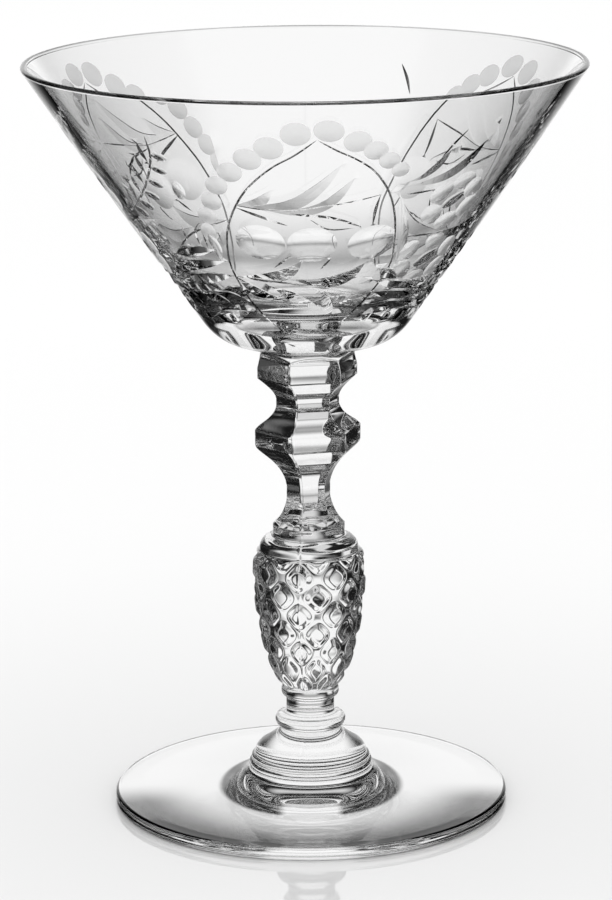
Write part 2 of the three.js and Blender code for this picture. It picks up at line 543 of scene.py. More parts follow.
@dataclass
class Dish:
    """A shallow round or oval cut, in unrolled millimetres."""

    x: float
    y: float
    length: float
    width: float
    angle: float = 0.0
    depth: float = 0.12
    frost: float = 1.0
    points: int = 26
    fewest_points: ClassVar[int] = 6
    deep: ClassVar[float] = 0.25
    deep_rings: ClassVar[tuple[float, ...]] = (0.82, 0.64, 0.46, 0.28, 0.1)
    flat_rings: ClassVar[tuple[float, ...]] = (0.7, 0.36)

    def turned(self, across: np.ndarray, along: np.ndarray) -> tuple[np.ndarray, np.ndarray]:
        """Places in the oval's own axes, as shares of its half sizes.

        Args:
            across: unrolled x of the places.
            along: unrolled y of the places.

        Returns:
            The two shares.
        """
        c, s = math.cos(self.angle), math.sin(self.angle)
        dx, dy = across - self.x, along - self.y
        return (dx * c + dy * s) / (self.length / 2), (dy * c - dx * s) / (self.width / 2)

    def dig(self, across: np.ndarray, along: np.ndarray) -> np.ndarray:
        """Depth of the cut at unrolled places, 0 outside it."""
        u, v = self.turned(across, along)
        return self.depth * np.clip(1 - u * u - v * v, 0, None)

    def reach(self) -> tuple[float, float, float, float]:
        """The box that holds the cut: lowest x and y, highest x and y."""
        r = max(self.length, self.width) / 2
        return self.x - r, self.y - r, self.x + r, self.y + r

    def lines(self) -> list[tuple[np.ndarray, bool]]:
        """Mesh lines of the cut.

        Returns:
            Lines of places, and whether each is closed.
        """
        c, s = math.cos(self.angle), math.sin(self.angle)
        out = []
        for share in (1.0, *(self.deep_rings if self.depth > self.deep else self.flat_rings)):
            count = max(self.fewest_points, round(self.points * share))
            a = np.linspace(0, 2 * math.pi, count, endpoint=False)
            u, v = np.cos(a) * self.length / 2 * share, np.sin(a) * self.width / 2 * share
            out.append((np.stack([self.x + u * c - v * s, self.y + u * s + v * c], axis=1), share == 1.0))
        return out


@dataclass
class Stroke:
    """A cut along a path: a thin line where it is even, a leaf where it swells, in unrolled millimetres."""

    path: list[Point]
    left: float = 0.28
    right: float = 0.28
    depth: float = 0.22
    leaf: bool = False
    swell: float = 0.55
    frost: float = 0.0
    profile: Profile = Profile.MITRE
    spacing: float = 0.7
    foot_power: ClassVar[float] = 1.5
    tip_power: ClassVar[float] = 0.9
    end_places: ClassVar[int] = 5
    end_power: ClassVar[float] = 0.6
    thinnest: ClassVar[float] = 0.03
    hollow_lines: ClassVar[tuple[float, ...]] = (0.5, 1.0)

    def __post_init__(self) -> None:
        """Works out the path's places and the widths at each."""
        self.spine = smooth_path(self.path, self.spacing)
        step = np.gradient(self.spine, axis=0)
        step /= np.linalg.norm(step, axis=1, keepdims=True)
        self.side = np.stack([-step[:, 1], step[:, 0]], axis=1)
        run = np.linspace(0, 1, len(self.spine))
        if self.leaf:
            peak = self.swell
            rise = np.sin(np.where(run < peak, run / peak, (1 - run) / (1 - peak)) * math.pi / 2)
            self.full = np.where(run < peak, rise ** self.foot_power, rise ** self.tip_power)
        else:
            ends = np.minimum(run, 1 - run) * len(run) / self.end_places
            self.full = np.clip(ends, 0, 1) ** self.end_power
        self.full = np.clip(self.full, self.thinnest, 1)

    def dig(self, across: np.ndarray, along: np.ndarray) -> np.ndarray:
        """Depth of the cut at places.

        Args:
            across: unrolled x.
            along: unrolled y.

        Returns:
            Depths, 0 outside.
        """
        place = np.stack([across, along], axis=1)
        a, b = self.spine[:-1], self.spine[1:]
        run = b - a
        share = np.einsum("psk,sk->ps", place[:, None] - a, run) / (run * run).sum(1)
        share = np.clip(share, 0, 1)
        off = place[:, None] - (a + share[..., None] * run)
        gap = np.hypot(off[..., 0], off[..., 1])
        best = gap.argmin(1)
        rows = np.arange(len(place))
        share, off, gap = share[rows, best], off[rows, best], gap[rows, best]
        side = np.sign(off[:, 0] * -run[best, 1] + off[:, 1] * run[best, 0])
        full = self.full[best] * (1 - share) + self.full[best + 1] * share
        width = np.where(side >= 0, self.left, self.right) * full
        ratio = np.clip(gap / width, 0, 1)
        section = 1 - ratio if self.profile is Profile.MITRE else 1 - ratio * ratio
        return self.depth * full * section

    def reach(self) -> tuple[float, float, float, float]:
        """The box that holds the cut: lowest x and y, highest x and y."""
        w = max(self.left, self.right)
        low, high = self.spine.min(0) - w, self.spine.max(0) + w
        return low[0], low[1], high[0], high[1]

    def lines(self) -> list[tuple[np.ndarray, bool]]:
        """Mesh lines of the cut.

        Returns:
            Lines of places, and whether each is closed.
        """
        out = [(self.spine, False)]
        shares = (1.0,) if self.profile is Profile.MITRE else self.hollow_lines
        for width, sign in ((self.left, 1), (self.right, -1)):
            for share in shares:
                edge = self.spine + self.side * (sign * width * share * self.full)[:, None]
                edge[0], edge[-1] = self.spine[0], self.spine[-1]
                out.append((edge, False))
        return out


def smooth_path(path: list[Point], spacing: float) -> np.ndarray:
    """Runs an even smooth line through points.

    Args:
        path: the points.
        spacing: the distance between places on the line.

    Returns:
        The places, one row each.
    """
    p = np.array(path, float)
    if len(p) == 2:
        fine = np.linspace(0, 1, STRAIGHT_PLACES)[:, None] * (p[1] - p[0]) + p[0]
    else:
        ext = np.vstack([2 * p[0] - p[1], p, 2 * p[-1] - p[-2]])
        parts = []
        for a, b, c, d in zip(ext, ext[1:], ext[2:], ext[3:]):
            t = np.linspace(0, 1, BEND_PLACES, endpoint=False)[:, None]
            parts.append(0.5 * (2 * b + (c - a) * t + (2 * a - 5 * b + 4 * c - d) * t ** 2
                                + (3 * b - a - 3 * c + d) * t ** 3))
        fine = np.vstack(parts + [p[-1:]])
    run = np.concatenate([[0], np.cumsum(np.linalg.norm(np.diff(fine, axis=0), axis=1))])
    count = max(FEWEST_PARTS, int(round(run[-1] / spacing)))
    at = np.linspace(0, run[-1], count + 1)
    return np.stack([np.interp(at, run, fine[:, k]) for k in (0, 1)], axis=1)


def moved(cut: Dish | Stroke, turn: float, reference: float) -> Dish | Stroke:
    """Moves a cut from a motif's own places to its bearing on the unrolled cone.

    Args:
        cut: the cut, with y measured from the reference distance.
        turn: the motif's angle on the unrolled cone.
        reference: the distance from the cone's point where y is 0.

    Returns:
        A copy in the cone's unrolled places.
    """
    c, s = math.cos(turn), math.sin(turn)

    def placed(x: float, y: float) -> Point:
        """A place after the move."""
        return x * c + (y + reference) * s, (y + reference) * c - x * s

    if isinstance(cut, Dish):
        x, y = placed(cut.x, cut.y)
        return Dish(x, y, cut.length, cut.width, cut.angle - turn, cut.depth, cut.frost, cut.points)
    return Stroke([placed(x, y) for x, y in cut.path], cut.left, cut.right, cut.depth, cut.leaf, cut.swell,
                  cut.frost, cut.profile, cut.spacing)


def pearl_chain(places: list[Point], lengths: list[float], widths: list[float]) -> list[Dish]:
    """Matte pearls at places in a row, each turned along it, with their sizes along and across the row."""
    line = np.gradient(np.array(places), axis=0)
    return [Dish(x, y, length, width, math.atan2(step[1], step[0]))
            for (x, y), length, width, step in zip(places, lengths, widths, line)]


def even(half_width: float, depth: float) -> dict[str, float]:
    """The settings of an even line of a half width and depth."""
    return dict(left=half_width, right=half_width, depth=depth)


HAIRLINE, LINE, VEIN, DASH = even(0.16, 0.14), even(0.2, 0.16), even(0.25, 0.2), even(0.3, 0.26)


@dataclass
class Medallion:
    """The large motif: a pointed arch under a row of pearls, with two sprays and three polished circles."""

    arch_left: list[Point] = field(default_factory=lambda: [
        (2.0, 11.6), (-2.0, 7.9), (-5.7, 5.0), (-8.9, 1.3), (-11.4, -2.8), (-13.3, -7.8), (-14.4, -12.7),
        (-14.6, -17.5), (-14.2, -21.7), (-13.0, -25.5), (-10.8, -30.0), (-7.9, -34.0), (-5.5, -36.6)])
    arch_right: list[Point] = field(default_factory=lambda: [
        (2.0, 11.6), (5.5, 8.8), (9.0, 6.2), (11.9, 3.1), (14.2, -1.2), (15.6, -5.8), (16.3, -11.4),
        (16.3, -17.0), (15.8, -22.3), (14.1, -26.0), (11.2, -30.1), (8.4, -33.2), (5.5, -36.2)])
    pearls_left: list[Point] = field(default_factory=lambda: [
        (-1.8, 13.0), (-6.6, 9.4), (-10.4, 6.2), (-13.7, 2.3), (-16.2, -1.7), (-17.3, -6.2), (-18.2, -10.3),
        (-18.3, -14.6)])
    pearls_right: list[Point] = field(default_factory=lambda: [
        (4.1, 13.6), (9.2, 10.5), (12.5, 7.7), (15.0, 4.6), (17.1, 1.7)])
    circles: list[Point] = field(default_factory=lambda: [(-8.4, -14.4), (1.0, -14.4), (12.0, -15.5)])
    circle_size: float = 8.7
    circle_stretch: float = 0.4
    circle_points: int = 40
    circle_depth: float = 0.66
    upper_depth: float = 0.2
    lower_depth: float = 0.8
    crescent_depth: float = 0.16

    def cuts(self) -> list[Dish | Stroke]:
        """All cuts of the motif.

        Returns:
            The cuts in the motif's own places.
        """
        out: list[Dish | Stroke] = [Stroke(side, **LINE) for side in (self.arch_left, self.arch_right)]
        out += pearl_chain(self.pearls_left, [5.6, 5.4, 5.1, 5.0, 4.8, 4.6, 4.4, 4.6],
                           [5.6, 5.5, 5.3, 4.6, 4.2, 4.0, 3.8, 3.0])
        out += pearl_chain(self.pearls_right, [5.8, 5.2, 4.8, 4.4, 3.8], [5.0, 5.0, 4.4, 3.8, 3.4])
        for x, y in self.circles:
            out.append(Dish(x, y, self.circle_size + self.circle_stretch, self.circle_size,
                            depth=self.circle_depth, frost=0.0, points=self.circle_points))
        crescent = dict(depth=self.crescent_depth, leaf=True, swell=0.5, profile=Profile.HOLLOW)
        out.append(Stroke([(16.9, -3.6), (17.6, -8.5), (18.0, -14.0), (17.8, -19.3), (16.6, -25.0)],
                          1.15, 1.15, **crescent))
        out.append(Stroke([(-19.6, -13.4), (-18.3, -15.4), (-16.7, -18.2), (-15.9, -22.0)],
                          1.0, 1.0, **crescent))
        return out + self.upper_spray() + self.lower_spray()

    def upper_spray(self) -> list[Stroke]:
        """The leaves and stems above the circles.

        Returns:
            The strokes.
        """
        root = (-12.8, -5.9)
        leaf = dict(leaf=True, depth=self.upper_depth)
        return [
            Stroke([root, (-9.1, -3.6), (-6.2, -0.9)], 0.25, 2.1, swell=0.5, **leaf),
            Stroke([root, (-7.3, -4.8), (-2.8, -3.2), (1.7, 0.5), (6.4, 5.3)],
                   0.25, 2.5, swell=0.5, **leaf),
            Stroke([(-9.0, -5.7), (-2.8, -5.7), (2.8, -3.9), (8.7, 1.6)], 0.25, 2.0, swell=0.6, **leaf),
            Stroke([root, (-2.8, -5.9), (3.9, -4.8), (13.6, -3.6)], **HAIRLINE),
            Stroke([(-12.7, -6.4), (-8.0, -7.9), (-3.3, -9.6)], **even(0.32, 0.3)),
            Stroke([(-3.5, -6.5), (2.8, -7.3), (6.2, -8.6), (9.9, -10.9)], **DASH),
            Stroke([(0.6, -7.9), (3.9, -10.6), (8.5, -11.0)], **HAIRLINE),
            Stroke([(13.4, -3.8), (12.5, -7.4), (12.0, -11.2)], **DASH),
        ]

    def lower_spray(self) -> list[Stroke]:
        """The leaves and stems below the circles.

        Returns:
            The strokes.
        """
        root = (-13.2, -24.8)
        leaf = dict(leaf=True, depth=self.lower_depth)
        return [
            Stroke([root, (-7.6, -22.6), (-3.8, -20.8), (-0.9, -18.5)], 0.25, 2.6, swell=0.6, **leaf),
            Stroke([(-3.7, -23.4), (2.7, -23.3), (6.9, -22.5), (10.7, -20.7)],
                   0.25, 2.6, swell=0.6, **leaf),
            Stroke([root, (-9.2, -26.9), (-5.4, -28.5)], 0.3, 2.0, swell=0.55, **leaf),
            Stroke([(-6.9, -25.6), (-3.0, -26.8), (1.0, -29.3)], 0.3, 2.0, swell=0.6, **leaf),
            Stroke([(2.3, -26.5), (3.9, -28.2), (4.8, -30.8)], 0.3, 1.6, swell=0.6, **leaf),
            Stroke([(3.3, -26.6), (6.6, -28.6), (9.4, -31.7)], 0.3, 1.6, swell=0.6, **leaf),
            Stroke([root, (-7.6, -24.3), (-0.7, -24.8), (5.1, -26.6), (11.1, -30.1)], **even(0.22, 0.2)),
            Stroke([(-5.9, -20.7), (-3.1, -17.4)], **DASH),
            Stroke([(2.5, -20.8), (4.5, -18.0)], **DASH),
            Stroke([(12.5, -19.5), (12.7, -22.3)], **VEIN),
        ]


@dataclass
class Spray:
    """The motif between two medallions: two flowers of matte petals, long leaves and a fern."""

    flowered: bool = True
    petal_length: float = 5.5
    petal_width: float = 4.4
    petal_depth: float = 0.2
    petal_frost: float = 0.6
    middle_size: Point = (5.2, 3.0)
    middle_turn: float = 0.8
    middle_depth: float = 0.45
    middle_points: int = 30
    leaf_depth: float = 0.3
    fern_depth: float = 0.42
    oval_size: Point = (3.5, 2.1)
    oval_turn: float = -0.5
    oval_depth: float = 0.3
    oval_points: int = 18
    fan_width: float = 1.6
    fan_depth: float = 1.05

    def flower(self, middle: Point, petals: list[Point]) -> list[Dish]:
        """A flower of matte petals round a polished oval.

        Args:
            middle: the polished oval's place.
            petals: the petals' middles.

        Returns:
            The dishes.
        """
        out = []
        for x, y in petals:
            turn = math.atan2(y - middle[1], x - middle[0]) + math.pi / 2
            out.append(Dish(x, y, self.petal_length, self.petal_width, turn, self.petal_depth, self.petal_frost))
        return out + [Dish(*middle, *self.middle_size, self.middle_turn, self.middle_depth, 0.0,
                           self.middle_points)]

    def cuts(self) -> list[Dish | Stroke]:
        """All cuts of the motif.

        Returns:
            The cuts in the motif's own places.
        """
        out: list[Dish | Stroke] = [Stroke([(-19.9, 9.7), (-21.0, 6.0), (-21.6, 2.2)], **even(0.3, 0.24))]
        if not self.flowered:
            return out
        out += self.lower_leaves()
        out += self.flower((-11.5, -6.7), [(-11.8, -2.1), (-15.7, -5.1), (-14.6, -10.4), (-9.6, -11.7),
                                           (-6.3, -8.2), (-7.9, -3.9)])
        out += self.flower((-8.2, -20.9), [(-14.0, -19.4), (-12.6, -23.9), (-7.6, -26.0), (-3.2, -23.4),
                                           (-3.4, -18.4), (-8.4, -16.3)])
        leaf = dict(leaf=True, depth=self.leaf_depth)
        out += [
            Stroke([(-25.2, -5.4), (-21.6, -3.2), (-17.9, -0.3), (-15.2, 3.5), (-13.3, 7.4)],
                   0.25, 2.2, swell=0.6, **leaf),
            Stroke([(-25.2, -4.2), (-22.9, -1.7), (-20.6, 4.7)], 0.25, 1.5, swell=0.6, **leaf),
            Stroke([(-23.4, -6.7), (-17.9, -4.6)], **DASH),
            Stroke([(-20.3, -10.3), (-16.9, -11.6)], **DASH),
            Stroke([(-13.9, -16.0), (-9.6, -14.6), (-4.1, -13.6), (-1.4, -12.3), (5.5, -11.1)], 0.2, 2.4,
                   swell=0.5, **leaf),
        ]
        return out + self.fern()

    def fern(self) -> list[Dish | Stroke]:
        """The curved vein with slanted leaves on one side and small ovals on the other.

        Returns:
            The cuts.
        """
        vein = [(19.7, 8.7), (17.7, 4.0), (13.7, -0.3), (8.8, -4.3), (5.3, -6.5), (-1.2, -10.2)]
        tips = [(16.7, 7.6), (14.0, 4.9), (11.3, 2.4), (8.8, 0.2), (6.4, -1.9), (3.9, -3.9), (1.2, -5.8)]
        feet = [(16.0, 2.6), (13.4, 0.0), (10.8, -2.4), (8.0, -4.5), (5.2, -6.2), (2.2, -8.0), (-0.6, -9.6)]
        out: list[Dish | Stroke] = [Stroke(vein, **VEIN)]
        out += [Stroke([foot, tip], 0.8, 0.3, self.fern_depth, True, 0.45) for foot, tip in zip(feet, tips)]
        for x, y in ((19.6, 3.8), (17.4, 0.8), (14.2, -2.2), (10.9, -5.0), (7.4, -7.4), (3.9, -9.4)):
            out.append(Dish(x, y, *self.oval_size, self.oval_turn, self.oval_depth, 0.0, self.oval_points))
        out.append(Dish(18.6, -4.4, 4.6, 2.6, 1.2, 0.22, 0.3, 26))
        out.append(Stroke([(10.1, 3.4), (9.8, 1.9), (13.2, 4.0)], **LINE))
        return out

    def lower_leaves(self) -> list[Stroke]:
        """The long leaves that run down to the corner of the bowl.

        Returns:
            The strokes.
        """
        wide = dict(left=self.fan_width, right=self.fan_width, depth=self.fan_depth, leaf=True, swell=0.5)
        fan = [
            [(-2.4, -24.4), (6.0, -22.0), (17.0, -22.0)], [(0.0, -27.0), (7.0, -25.3), (16.5, -25.6)],
            [(2.0, -28.4), (7.0, -33.4)], [(4.8, -28.4), (11.7, -33.4)], [(8.0, -28.6), (15.4, -32.4)],
            [(11.4, -28.4), (17.4, -30.2)], [(-1.6, -27.5), (2.4, -34.4)],
            [(5.0, -19.6), (11.0, -18.6), (16.5, -19.2)],
            [(-17.4, -27.2), (-9.0, -27.6), (-2.0, -27.6)], [(-15.6, -29.9), (-8.0, -30.0), (-1.6, -29.6)],
            [(-14.6, -33.0), (-8.5, -32.6), (-2.0, -32.2)], [(-17.6, -24.4), (-12.0, -26.0)],
            [(-0.4, -16.6), (0.6, -21.5), (-1.6, -26.4)], [(2.6, -14.6), (3.2, -18.6), (1.6, -23.2)],
            [(-12.0, -35.0), (-4.0, -34.8), (4.0, -35.4)], [(2.0, -36.0), (8.0, -35.2), (14.0, -34.6)],
        ]
        lines = [
            [(16.7, -15.1), (15.5, -18.5)], [(20.3, -15.3), (19.5, -17.4)],
            [(17.8, -12.3), (15.4, -14.2), (14.1, -17.5)], [(13.0, -12.6), (11.6, -16.4)],
        ]
        return [Stroke(line, **wide) for line in fan] + [Stroke(line, **even(0.26, 0.24)) for line in lines]


# Pieces of the glass

@dataclass
class Foot:
    """The cast-on foot: a wide disc, hollow below, with a hub above."""

    radius: float = 38.6
    edge_thickness: float = 2.4
    edge_rounding: float = 0.9
    rest_ring: float = 4.2
    hollow: float = 0.9
    hub_height: float = 7.6
    hub_radius: float = 12.0
    fillet_spread: float = 5.8
    fillet_height: float = 4.0
    joint_radius: float = 11.5
    hollow_shares: Handles = (0.5, 0, 0.8, 0.6)
    fillet_shares: Handles = (0.8, 0.12, 0.97, 0.5)
    columns: int = 288

    def build(self) -> bpy.types.Object:
        """Makes the mesh.

        Returns:
            The foot's object.
        """
        edge_top = self.edge_thickness - self.edge_rounding
        outline = Outline((0.0, self.hollow))
        outline.curve(self.radius - self.rest_ring, 0, self.hollow_shares, 24)
        outline.to(self.radius - self.edge_rounding, 0)
        outline.curve(self.radius, self.edge_rounding, ROUND_OUT, 8).to(self.radius, edge_top)
        outline.curve(self.radius - self.edge_rounding, self.edge_thickness, ROUND_IN, 8)
        outline.to(self.hub_radius + self.fillet_spread, self.fillet_height, 8)
        outline.curve(self.hub_radius, self.hub_height, self.fillet_shares, 18)
        outline.to(self.joint_radius, self.hub_height)
        shell = Shell()
        shell.turn(outline, self.columns, FRONT)
        centre = Outline((self.joint_radius, self.hub_height)).to(0, self.hub_height)
        shell.turn(centre, self.columns, FRONT, fused_above=self.hub_height - SLACK)
        return shell.build("foot_crystal_looks")


@dataclass
class Lozenges:
    """The raised lozenges round the stem's body."""

    row_pitch: float = 3.85
    first_row_drop: float = 3.1
    relief: float = 0.75
    count: int = 9
    crown_share: float = 0.4
    groove_share: float = 1.0
    sharpness: float = 3.0


@dataclass
class Stem:
    """The pressed stem: collar, block, waist, knop, neck, cup, body with lozenges, beads and bell."""

    base_height: float = 7.6
    base_radius: float = 11.5
    lip_radius: float = 11.7
    lip_height: float = 1.4
    bell_radius: float = 11.1
    bell_height: float = 5.8
    bell_top_radius: float = 5.85
    lower_bead_radius: float = 6.9
    lower_bead_height: float = 2.8
    bead_neck_radius: float = 4.7
    bead_neck_height: float = 3.2
    upper_bead_radius: float = 5.65
    upper_bead_height: float = 2.3
    body_base_radius: float = 5.3
    body_top_radius: float = 10.5
    body_height: float = 27.1
    shoulder_step: float = 0.5
    shoulder_radius: float = 9.7
    shoulder_height: float = 2.9
    cup_radius: float = 7.0
    cup_height: float = 2.2
    flare_height: float = 5.3
    neck_radius: float = 4.4
    neck_height: float = 2.4
    knop_taper_height: float = 8.6
    knop_radius: float = 10.5
    knop_band_height: float = 2.8
    knop_top_height: float = 4.5
    waist_radius: float = 6.2
    waist_height: float = 1.4
    block_taper_height: float = 4.2
    block_radius: float = 9.8
    block_height: float = 4.0
    block_top_radius: float = 9.3
    collar_height: float = 1.6
    joint_radius: float = 7.6
    bell_shares: Handles = (0.05, 0.54, 0.96, 0.62)
    body_shares: Handles = (0.84, 0.1, 1.34, 0.87)
    shoulder_shares: Handles = (0.02, 0.35, 0.1, 0.8)
    flare_shares: Handles = (0.1, 0.06, 0.76, 0.29)
    taper_shares: Handles = (0.1, 0.6, 1, 0.8)
    knop_shares: Handles = (0.22, 0.34, 0.82, 0.41)
    block_shares: Handles = (0.06, 0.38, 0.59, 0.69)
    facet_count: int = 6
    seam_turn: float = math.radians(-11)
    twist: float = math.radians(-9.5)
    seam_height: float = 0.06
    seam_width: float = 0.3
    sharp_angle: float = math.radians(62)
    angle_slack: float = 0.0001
    edge_slack: float = 0.00001
    axis_slack: float = 0.0001
    columns: int = 270
    lozenges: Lozenges = field(default_factory=Lozenges)

    def outline(self) -> Outline:
        """Draws the outline from the foot up, and keeps the heights that the facets and lozenges need.

        Returns:
            The outline.
        """
        out = Outline((self.base_radius, self.base_height))
        out.climb(self.lip_height / 2, self.lip_radius, ROUND_OUT, 5)
        out.climb(self.lip_height / 2, self.bell_radius, ROUND_IN, 5)
        out.climb(self.bell_height, self.bell_top_radius, self.bell_shares, 26)
        out.climb(self.lower_bead_height / 2, self.lower_bead_radius, ROUND_OUT, 8)
        out.climb(self.lower_bead_height / 2, self.bead_neck_radius, ROUND_IN, 8)
        out.rise(self.bead_neck_height, steps=6)
        out.climb(self.upper_bead_height / 2, self.upper_bead_radius, ROUND_OUT, 7)
        out.climb(self.upper_bead_height / 2, self.body_base_radius, ROUND_IN, 7)
        self.body_base = out.end[1]
        out.climb(self.body_height, self.body_top_radius, self.body_shares, 122)
        self.body_top = out.end[1]
        out.rise(self.shoulder_step, self.shoulder_radius, 3)
        out.climb(self.shoulder_height, self.cup_radius, self.shoulder_shares, 14)
        self.cup_base = out.end[1]
        out.rise(self.cup_height, steps=6)
        out.climb(self.flare_height, self.neck_radius, self.flare_shares, 20)
        self.neck_base = out.end[1]
        out.rise(self.neck_height, steps=6)
        out.climb(self.knop_taper_height, self.knop_radius, self.taper_shares, 28)
        out.rise(self.knop_band_height, steps=7)
        out.climb(self.knop_top_height, self.waist_radius, self.knop_shares, 18)
        out.rise(self.waist_height, steps=4)
        out.climb(self.block_taper_height, self.block_radius, self.block_shares, 16)
        out.rise(self.block_height / 2, steps=5)
        out.rise(self.block_height / 2, self.block_top_radius, 5)
        self.block_top = out.end[1]
        out.climb(self.collar_height, self.joint_radius, ROUND_IN, 8)
        self.top = out.end[1]
        return out

    def build(self, crystal: bpy.types.Material, fused: bpy.types.Material) -> bpy.types.Object:
        """Turns the stem, presses its facets and lozenges with Geometry Nodes and keeps the plain result.

        Args:
            crystal: the stem's glass.
            fused: the finish of its two fused faces.

        Returns:
            The stem's object.
        """
        shell = Shell()
        side = self.outline()
        shell.turn(side, self.columns, FRONT)
        sides = len(shell.faces)
        base = Outline((0.0, self.base_height)).to(self.base_radius, self.base_height)
        shell.turn(base, self.columns, FRONT)
        shell.turn(Outline((self.joint_radius, self.top)).to(0.0, self.top), self.columns, FRONT)
        blank = shell.build("stem_blank")
        blank.data.materials.append(fused)
        flags = np.arange(len(shell.faces)) < sides
        blank.data.attributes.new("pressed", "BOOLEAN", "FACE").data.foreach_set("value", flags.tolist())
        modifier = blank.modifiers.new("pressing", "NODES")
        modifier.node_group = self.press(crystal)
        for item in modifier.node_group.interface.items_tree:
            if item.in_out == "INPUT" and item.name in self.sizes():
                modifier[item.identifier] = self.sizes()[item.name]
        evaluated = blank.evaluated_get(bpy.context.evaluated_depsgraph_get())
        mesh = bpy.data.meshes.new_from_object(evaluated)
        bpy.data.objects.remove(blank)
        mesh.polygons.foreach_set("use_smooth", [True] * len(mesh.polygons))
        mesh.set_sharp_from_angle(angle=self.sharp_angle)
        mesh.name = "stem_crystal_looks"
        stem = bpy.data.objects.new("stem_crystal_looks", mesh)
        bpy.context.scene.collection.objects.link(stem)
        return stem

    def sizes(self) -> dict[str, float]:
        """The inputs of the pressing, in metres, radians, counts and shares."""
        loz = self.lozenges
        return {
            "Seam Turn": self.seam_turn, "Twist": self.twist, "Facets": float(self.facet_count),
            "Cup Base": self.cup_base * MM, "Neck Base": self.neck_base * MM,
            "Block Top": self.block_top * MM, "Stem Top": self.top * MM,
            "Body Base": self.body_base * MM, "Body Top": self.body_top * MM,
            "Row Pitch": loz.row_pitch * MM, "First Row": (self.body_top - loz.first_row_drop) * MM,
            "Relief": loz.relief * MM, "Lozenges": float(loz.count), "Crown": loz.crown_share,
            "Groove": loz.groove_share, "Sharpness": loz.sharpness,
            "Seam Height": self.seam_height * MM, "Seam Width": self.seam_width * MM,
        }

    def press(self, crystal: bpy.types.Material) -> bpy.types.NodeTree:
        """Builds the tree that presses facets, lozenges, seam and twist into the turned stem.

        Args:
            crystal: the glass for its pressed faces.

        Returns:
            The tree.
        """
        tree = bpy.data.node_groups.new("pressed_stem", "GeometryNodeTree")
        tree.interface.new_socket("Geometry", in_out="INPUT", socket_type="NodeSocketGeometry")
        for name in self.sizes():
            tree.interface.new_socket(name, in_out="INPUT", socket_type="NodeSocketFloat")
        tree.interface.new_socket("Geometry", in_out="OUTPUT", socket_type="NodeSocketGeometry")
        graph = Graph(tree)
        given = graph.node("NodeGroupInput")
        size = {name: Number(graph, given.outputs[name]) for name in self.sizes()}
        place = graph.node("ShaderNodeSeparateXYZ", None, {
            0: graph.node("GeometryNodeInputPosition").outputs[0]})
        x, y, height = (Number(graph, place.outputs[k]) for k in range(3))
        radius = (x * x + y * y) ** 0.5
        around = y.math("ARCTAN2", y, x) - FRONT
        around = around + 2 * math.pi * (1 - around.over(-self.angle_slack))
        pressed = self.faceted(size, radius, around, height) - self.groove(size, around, height)
        pressed = pressed + self.seam(size, radius, around)
        turned = (height - size["Body Top"]) / (size["Stem Top"] - size["Body Top"])
        bearing = around + size["Seam Turn"] + size["Twist"] * turned.high(0.0).low(1.0) + FRONT
        across, along = (pressed * bearing.math(way, bearing) for way in ("COSINE", "SINE"))
        at = graph.node("ShaderNodeCombineXYZ", None, {0: across, 1: along, 2: height})
        moved_mesh = graph.node("GeometryNodeSetPosition", None,
                                {"Geometry": given.outputs["Geometry"], "Position": at.outputs[0]})
        real = graph.node("GeometryNodeRealizeInstances", None, {"Geometry": moved_mesh.outputs[0]})
        side = graph.node("GeometryNodeInputNamedAttribute", {"data_type": "BOOLEAN"}, {"Name": "pressed"})
        dressed = graph.node("GeometryNodeSetMaterial", None, {
            "Geometry": real.outputs[0], "Selection": side.outputs[0], "Material": crystal})
        graph.node("NodeGroupOutput", None, {"Geometry": dressed.outputs[0]})
        return tree

    def faceted(self, size: dict[str, Number], radius: Number, around: Number, height: Number) -> Number:
        """The radius after the flat facets are pressed.

        Args:
            size: the tree's inputs.
            radius: the turned radius.
            around: the bearing from the seam.
            height: the height.

        Returns:
            The new radius.
        """
        angle = 2 * math.pi / size["Facets"]
        off = around.math("FLOORED_MODULO", around, angle) - angle / 2
        share = height.ease(size["Cup Base"], size["Neck Base"]).low(
            1 - height.ease(size["Block Top"], size["Stem Top"]))
        middle = 1 - share * (1 - (angle / 2).math("COSINE", angle / 2))
        return radius * (middle / off.math("COSINE", off)).low(1.0)

    def groove(self, size: dict[str, Number], around: Number, height: Number) -> Number:
        """How far the body is sunk between its lozenges.

        Args:
            size: the tree's inputs.
            around: the bearing from the seam.
            height: the height.

        Returns:
            The depth, 0 away from the body.
        """
        column = around * size["Lozenges"] / math.pi
        row = (size["First Row"] - height) / size["Row Pitch"]
        rising, falling = (column + row) / 2, (row - column) / 2
        off_rising = abs(rising - rising.math("ROUND", rising)) * 2
        off_falling = abs(falling - falling.math("ROUND", falling)) * 2
        sharp = size["Sharpness"]
        off = (off_rising ** sharp + off_falling ** sharp) ** (1 / sharp)
        low, high = (size[name] + self.edge_slack for name in ("Body Base", "Body Top"))
        on_body = height.over(low) * (1 - height.over(high))
        return off.ease(size["Crown"], size["Groove"]) * size["Relief"] * on_body

    def seam(self, size: dict[str, Number], radius: Number, around: Number) -> Number:
        """The fine ridge of the mould seam.

        Args:
            size: the tree's inputs.
            radius: the turned radius.
            around: the bearing from the seam.

        Returns:
            The ridge's height.
        """
        off = (math.pi - abs(around - math.pi)) * radius
        return (1 - off.ease(0.0, size["Seam Width"])) * size["Seam Height"] * radius.over(self.axis_slack)


